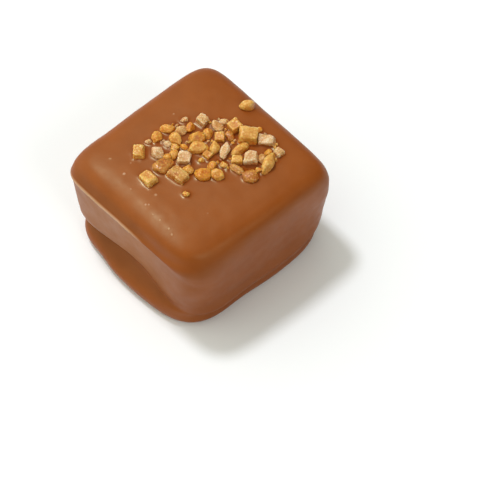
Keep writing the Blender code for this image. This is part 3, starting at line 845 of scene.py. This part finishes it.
def cube_bit(rng):
    """A cut cube, narrower at the top, with uneven corners and rounded edges."""
    corners = {}
    seed_mesh = bmesh.new()
    bmesh.ops.create_cube(seed_mesh, size=1.0)
    for vert in seed_mesh.verts:
        key = tuple(value > 0.0 for value in vert.co)
        narrow = CUBE_TAPER if vert.co.z > 0.0 else 1.0
        x = vert.co.x * narrow + rng.uniform(-CUBE_JITTER, CUBE_JITTER)
        y = vert.co.y * narrow + rng.uniform(-CUBE_JITTER, CUBE_JITTER)
        z = vert.co.z + rng.uniform(-CUBE_JITTER, CUBE_JITTER) / 2
        corners[key] = np.array([x, y, z])
    seed_mesh.free()

    mesh = gridded_cube(CUBE_SQUARES, CUBE_SQUARES)
    places = np.array([vert.co[:] for vert in mesh.verts]) / 2
    core = np.clip(places, CUBE_ROUND - 0.5, 0.5 - CUBE_ROUND)
    away = places - core
    length = np.linalg.norm(away, axis=1, keepdims=True)
    places = core + away / np.maximum(length, TINY) * CUBE_ROUND
    share = places + 0.5
    points = np.zeros_like(places)
    for key, corner in corners.items():
        weight = np.prod(np.where(key, share, 1.0 - share), axis=1)
        points += weight[:, None] * corner
    move_to(mesh, chip(points, rng, CUBE_CHIPS))
    return mesh


def nut_bit(rng, fineness):
    """A chopped nut, all lumps and cuts."""
    mesh = bmesh.new()
    bmesh.ops.create_icosphere(mesh, subdivisions=fineness, radius=1.0)
    directions = np.array([vert.co.normalized()[:] for vert in mesh.verts])
    move_to(mesh, directions * nut_radius(directions, rng)[:, None])
    return mesh


def place_bit(mesh, bit, rng):
    """Size a bit, tilt and turn it, and sink its lower part in the coating."""
    _, x, y, length, breadth, height, turn, _ = bit
    whole = height / (1.0 - BURIED / 2)
    tilt_x = np.radians(rng.uniform(-TILT, TILT))
    tilt_y = np.radians(rng.uniform(-TILT, TILT))
    turned = Euler((tilt_x, tilt_y, np.radians(turn))).to_matrix().to_4x4()
    sized = Matrix.Diagonal((SPREAD * length, SPREAD * breadth, whole, 1.0))
    middle = Vector((x, y, top_level(x, y) + height - whole / 2))
    mesh.transform(Matrix.Translation(middle) @ turned @ sized)


def roughen(mesh, number, grain, depth):
    """Push each vertex along its normal by a noise of grains and lumps, different on each bit."""
    mesh.normal_update()
    grain_layer = mesh.verts.layers.float.new("grain")
    shift = Vector([number * step for step in GRAIN_SHIFT])
    for vert in mesh.verts:
        nearest, next_nearest = noise.voronoi(vert.co / grain + shift)[0][:2]
        crystal = min(next_nearest - nearest, CRYSTAL_WIDTH) - CRYSTAL_WIDTH / 2
        coarse = noise.noise(vert.co / (LUMPS_PER_GRAIN * grain) - shift)
        # raised crystals get a higher grain value, which the materials paint paler as a highlight, and pits a
        # lower one, painted darker as shade, on top of the sugar's own mottle
        vert[grain_layer] = 0.5 + GRAIN_TONE[0] * crystal + GRAIN_TONE[1] * coarse
        vert.co += vert.normal * depth * (GRAIN_RELIEF[0] * crystal + GRAIN_RELIEF[1] * coarse)


def mark_edges(mesh):
    """Note how far each vertex stands out from the smoothed form: 1 at corners and edges, 0 in hollows."""
    mesh.verts.index_update()
    mesh.normal_update()
    points = np.array([vert.co[:] for vert in mesh.verts])
    normals = np.array([vert.normal[:] for vert in mesh.verts])
    first = np.array([edge.verts[0].index for edge in mesh.edges])
    second = np.array([edge.verts[1].index for edge in mesh.edges])
    links = np.bincount(first, minlength=len(points)) + np.bincount(second, minlength=len(points))
    smooth = points
    for _ in range(EDGE_ROUNDS):
        total = np.zeros_like(smooth)
        np.add.at(total, first, smooth[second])
        np.add.at(total, second, smooth[first])
        smooth = total / links[:, None]
    standing = ((points - smooth) * normals).sum(axis=1)
    edge_layer = mesh.verts.layers.float.new("edge")
    for vert, value in zip(mesh.verts, standing):
        vert[edge_layer] = min(max(0.5 + value / EDGE_DEPTH, 0.0), 1.0)


def make_bit(number, bit):
    """One bit in its place, cut, roughened and kept inside the part's own box."""
    kind, _, _, length, _, _, _, _ = bit
    colour, shape = kind.split("_")
    rng = random.Random(BIT_SEED + number)
    fineness = NUT_FINENESS if length > CRUMB_SIZES[1] else CRUMB_FINENESS
    mesh = cube_bit(rng) if shape == "cube" else nut_bit(rng, fineness)
    place_bit(mesh, bit, rng)
    roughen(mesh, number, *GRAIN[colour])
    mark_edges(mesh)
    over = max(vert.co.z for vert in mesh.verts) - (cad_high[2] / METRES - BOX_MARGIN)
    bmesh.ops.translate(mesh, vec=(0.0, 0.0, -max(over, 0.0)), verts=mesh.verts)
    return mesh


def make_bits(colour):
    """All bits of one colour in one mesh, each with a tone of its own."""
    joined = bmesh.new()
    layers = {name: joined.verts.layers.float.new(name) for name in ("tone", "rise", "grain", "edge")}
    for number, bit in enumerate(LAYOUT):
        kind, x, y, _, _, height, _, tone = bit
        if not kind.startswith(colour):
            continue
        mesh = make_bit(number, bit)
        data = bpy.data.meshes.new("bit")
        mesh.to_mesh(data)
        mesh.free()
        first = len(joined.verts)
        joined.from_mesh(data)
        bpy.data.meshes.remove(data)
        joined.verts.ensure_lookup_table()
        level = top_level(x, y)
        for index in range(first, len(joined.verts)):
            vert = joined.verts[index]
            vert[layers["tone"]] = tone
            vert[layers["rise"]] = (vert.co.z - level) / height
    return finish_mesh(joined, f"{colour}_bits")


def new_material(name):
    """A material with nodes, its node tree and its shader."""
    material = bpy.data.materials.new(name)
    material.use_nodes = True
    return material, material.node_tree, material.node_tree.nodes["Principled BSDF"]


def node(tree, kind, **inputs):
    """A new node with some of its inputs set."""
    made = tree.nodes.new(kind)
    for name, value in inputs.items():
        made.inputs[name.replace("_", " ")].default_value = value
    return made


def object_noise(tree, scale, detail=3.0, roughness=0.55):
    """Noise over the object's own coordinates, which are metres."""
    where = tree.nodes.new("ShaderNodeTexCoord")
    made = node(tree, "ShaderNodeTexNoise", Scale=scale, Detail=detail, Roughness=roughness)
    tree.links.new(where.outputs["Object"], made.inputs["Vector"])
    return made.outputs["Fac"]


def ramp(tree, source, stops):
    """Colours that change along a value, through (position, colour) stops."""
    made = tree.nodes.new("ShaderNodeValToRGB")
    tree.links.new(source, made.inputs["Fac"])
    while len(made.color_ramp.elements) < len(stops):
        made.color_ramp.elements.new(0.5)
    for element, (position, colour) in zip(made.color_ramp.elements, stops):
        element.position = position
        element.color = (*colour, 1.0)
    return made.outputs["Color"]


def map_range(tree, source, from_low, from_high, to_low, to_high):
    """Stretch a value from one range to another."""
    made = tree.nodes.new("ShaderNodeMapRange")
    tree.links.new(source, made.inputs["Value"])
    made.inputs["From Min"].default_value = from_low
    made.inputs["From Max"].default_value = from_high
    made.inputs["To Min"].default_value = to_low
    made.inputs["To Max"].default_value = to_high
    return made.outputs["Result"]


def bump(tree, source, distance):
    """A relief too fine for the mesh, a distance deep in metres."""
    made = node(tree, "ShaderNodeBump", Strength=RELIEF_STRENGTH, Distance=distance)
    tree.links.new(source, made.inputs["Height"])
    return made.outputs["Normal"]


def multiply(tree, first, second):
    """One colour times another."""
    made = tree.nodes.new("ShaderNodeMix")
    made.data_type = "RGBA"
    made.blend_type = "MULTIPLY"
    made.inputs["Factor"].default_value = 1.0
    tree.links.new(first, made.inputs["A"])
    tree.links.new(second, made.inputs["B"])
    return made.outputs["Result"]


def attribute(tree, name):
    """A value stored on the mesh's vertices."""
    made = tree.nodes.new("ShaderNodeAttribute")
    made.attribute_name = name
    return made.outputs["Fac"]


def chocolate_material():
    """Milk chocolate: mottled, darker round the bits partly as painted shade, paler on beads and specks as a
    painted highlight, with a painted reflection of the floor on the fold's wall and painted shade above its
    ridge, and smoother on film and beads.
    """
    material, tree, shader = new_material("coating")
    colour = ramp(tree, object_noise(tree, *COATING_MOTTLE), tuple(zip(COATING_SPAN, COATING_TONES)))
    # the tints paint shade round the bits (partly a real caramel film), a highlight on the beads and specks,
    # a reflection of the floor on the wall under the ridge, and shade on the band above it
    for name, (low, high, tint) in COATING_TINTS.items():
        tinted = ramp(tree, attribute(tree, name), [(low, PLAIN), (high, tint)])
        colour = multiply(tree, colour, tinted)
    tree.links.new(colour, shader.inputs["Base Color"])

    patchy = map_range(tree, object_noise(tree, *COATING_PATCHES), *COATING_SPAN, *COATING_ROUGHNESS)
    low, high, polished = COATING_POLISH
    glossy = map_range(tree, attribute(tree, "polish"), low, high, 1.0, polished)
    roughness = tree.nodes.new("ShaderNodeMath")
    roughness.operation = "MULTIPLY"
    tree.links.new(patchy, roughness.inputs[0])
    tree.links.new(glossy, roughness.inputs[1])
    tree.links.new(roughness.outputs["Value"], shader.inputs["Roughness"])

    pores = bump(tree, object_noise(tree, *COATING_PORES), COATING_RELIEF)
    tree.links.new(pores, shader.inputs["Normal"])
    shader.inputs["IOR"].default_value = COATING_IOR
    shader.inputs["Specular Tint"].default_value = (*COATING_GLOSS_TINT, 1.0)
    shader.inputs["Specular IOR Level"].default_value = COATING_GLOSS
    return material


def bits_material(name, pale, deep, pit_tone_and_shade, peak_tone_and_highlight, roughness, coat):
    """Caramelised sugar and nut: a tone for each bit, mottled by its grain with painted highlight on raised
    crystals and painted shade in pits, painted shade in hollows and painted highlight on edges, and redder
    and darker near the coating, partly deeper caramel and partly painted shade and glow.
    """
    material, tree, shader = new_material(name)
    colour = ramp(tree, attribute(tree, "tone"), [(0.0, pale), (1.0, deep)])
    tints = (
        # paler raised crystals and darker pits: partly the sugar's own mottle, partly painted highlight and
        # shade
        ramp(tree, attribute(tree, "grain"), tuple(zip(GRAIN_STOPS, (pit_tone_and_shade, peak_tone_and_highlight)))),
        # painted shade in the hollows and painted highlight on the edges
        ramp(tree, attribute(tree, "edge"), EDGE_HIGHLIGHT_AND_SHADE),
        # redder and darker where a bit meets the coating: partly deeper caramel, partly painted shade and
        # warm glow
        ramp(tree, attribute(tree, "rise"), CONTACT_SHADE_AND_GLOW),
        ramp(tree, object_noise(tree, *BITS_MOTTLE), MOTTLE_TINTS),
    )
    for tint in tints:
        colour = multiply(tree, colour, tint)
    tree.links.new(colour, shader.inputs["Base Color"])

    smoother, rougher = (roughness + change for change in BITS_ROUGHNESS)
    patchy = map_range(tree, object_noise(tree, *BITS_PATCHES), *BITS_SPAN, smoother, rougher)
    tree.links.new(patchy, shader.inputs["Roughness"])
    pores = bump(tree, object_noise(tree, *BITS_PORES), BITS_RELIEF)
    tree.links.new(pores, shader.inputs["Normal"])
    shader.inputs["IOR"].default_value = BITS_IOR
    shader.inputs["Coat Weight"].default_value = coat
    shader.inputs["Coat Roughness"].default_value = COAT_ROUGHNESS
    shader.inputs["Specular IOR Level"].default_value = BITS_GLOSS
    shader.inputs["Subsurface Weight"].default_value = 1.0
    shader.inputs["Subsurface Radius"].default_value = SCATTER_RADIUS
    shader.inputs["Subsurface Scale"].default_value = SCATTER_DEPTH
    return material


def make_floor():
    """A plain pale floor under the praline, left out of the part."""
    bpy.ops.mesh.primitive_plane_add(size=FLOOR_WIDTH)
    floor = bpy.context.object
    floor.name = "floor"
    material, _, shader = new_material("floor")
    shader.inputs["Base Color"].default_value = (*FLOOR_COLOUR, 1.0)
    shader.inputs["Roughness"].default_value = FLOOR_ROUGHNESS
    shader.inputs["Specular IOR Level"].default_value = 0.0
    floor.data.materials.append(material)
    floor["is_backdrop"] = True


def view_axes():
    """The photo's directions over the ground: to its right, and away from the camera."""
    turn = math.radians(CAMERA_AZIMUTH)
    right = Vector((math.cos(turn), math.sin(turn), 0.0))
    away = Vector((-math.sin(turn), math.cos(turn), 0.0))
    return right, away


def photo_direction(left, behind, height):
    """A direction given by how far it goes to the photo's left, away from the camera and up."""
    right, away = view_axes()
    return (away * behind - right * left + Vector((0.0, 0.0, height))).normalized()


def make_camera():
    """A camera at the photo's viewing angle, rolled a little as the photo is."""
    right, away = view_axes()
    rise = math.radians(CAMERA_ELEVATION)
    back = -away * math.cos(rise) + Vector((0.0, 0.0, math.sin(rise)))
    up = back.cross(right)
    roll = math.radians(CAMERA_ROLL)
    across = right * math.cos(roll) + up * math.sin(roll)
    upward = up * math.cos(roll) - right * math.sin(roll)
    lens = bpy.data.cameras.new("camera")
    lens.sensor_width = SENSOR_WIDTH
    lens.lens = SENSOR_WIDTH * CAMERA_DISTANCE / VIEW_WIDTH
    lens.clip_start = NEAREST
    camera = bpy.data.objects.new("camera", lens)
    bpy.context.scene.collection.objects.link(camera)
    placed = Matrix((across, upward, back)).transposed().to_4x4()
    placed.translation = Vector(CAMERA_AIM) + back * CAMERA_DISTANCE
    camera.matrix_world = placed
    bpy.context.scene.camera = camera


def make_lamp(name, way, width, watts, colour):
    """A soft disk a metre from the middle, facing it."""
    lamp = bpy.data.lights.new(name, "AREA")
    lamp.shape = "DISK"
    lamp.size = width
    lamp.energy = watts
    lamp.color = colour
    thing = bpy.data.objects.new(name, lamp)
    bpy.context.scene.collection.objects.link(thing)
    toward = photo_direction(*way)
    thing.location = toward
    thing.rotation_mode = "QUATERNION"
    thing.rotation_quaternion = toward.to_track_quat("Z", "Y")


def make_studio():
    """The light that comes from all round, and falls off with the angle from its brightest place."""
    world = bpy.data.worlds.new("studio")
    bpy.context.scene.world = world
    world.use_nodes = True
    tree = world.node_tree
    where = tree.nodes.new("ShaderNodeTexCoord")
    facing = tree.nodes.new("ShaderNodeVectorMath")
    facing.operation = "DOT_PRODUCT"
    tree.links.new(where.outputs["Generated"], facing.inputs[0])
    facing.inputs[1].default_value = photo_direction(*GLOW_FROM)
    fade = map_range(tree, facing.outputs["Value"], -1.0, 1.0, -2.0 * GLOW_FADE, 0.0)
    glow = tree.nodes.new("ShaderNodeMath")
    glow.operation = "EXPONENT"
    tree.links.new(fade, glow.inputs[0])
    strength = map_range(tree, glow.outputs["Value"], 0.0, 1.0, 0.0, GLOW)
    background = tree.nodes["Background"]
    background.inputs["Color"].default_value = (*GLOW_COLOUR, 1.0)
    tree.links.new(strength, background.inputs["Strength"])


coating = make_coating()
coating.data.materials.append(chocolate_material())
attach(coating, "root")
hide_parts("filled_chocolate")

for colour, look in LOOKS.items():
    bits = make_bits(colour)
    bits.data.materials.append(bits_material(f"{colour}_bits", *look))
    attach(bits, "root")
    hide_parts("filled_chocolate")

make_floor()
make_camera()
for light in LIGHTS:
    make_lamp(*light)
make_studio()
bpy.context.scene.view_settings.view_transform = "Standard"

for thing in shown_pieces():
    thing.data.calc_loop_triangles()
    print(thing.name, len(thing.data.loop_triangles), "triangles")
